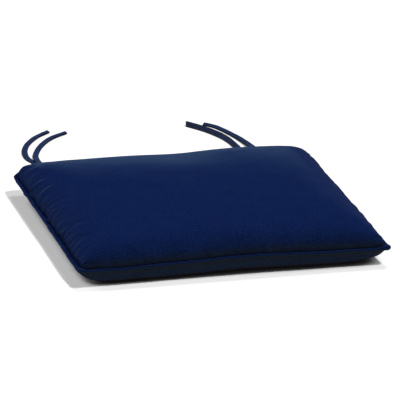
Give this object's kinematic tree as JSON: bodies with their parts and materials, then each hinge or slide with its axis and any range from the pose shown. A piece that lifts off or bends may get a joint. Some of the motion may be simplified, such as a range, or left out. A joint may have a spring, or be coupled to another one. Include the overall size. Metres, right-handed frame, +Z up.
{
  "type": "adirondack chair cushion",
  "caption": "Square filled seat cushion for a slatted garden chair, knife-edged, with a piped seam all round and cloth ties at its back corners.",
  "frame": {"origin": "the surface that the cushion rests on, under the middle of its piped outline", "axes": "+Z up, -Y towards the front edge, +Y towards the back edge that holds the ties, +X to the right as seen from the front"},
  "size_m": [0.5128, 0.8421, 0.076],
  "materials": {
    "canvas_panels": "navy plain-weave outdoor canvas, matt",
    "canvas_piping": "the same navy canvas cut on the bias over a cord",
    "canvas_ties": "the same navy canvas folded and topstitched into a flat tape"
  },
  "bodies": {
    "root": {"pillow": "canvas_panels", "welt": "canvas_piping", "tie_left_outer": "canvas_ties", "tie_left_inner": "canvas_ties", "tie_right_near": "canvas_ties", "tie_right_far": "canvas_ties"}
  },
  "joints": []
}
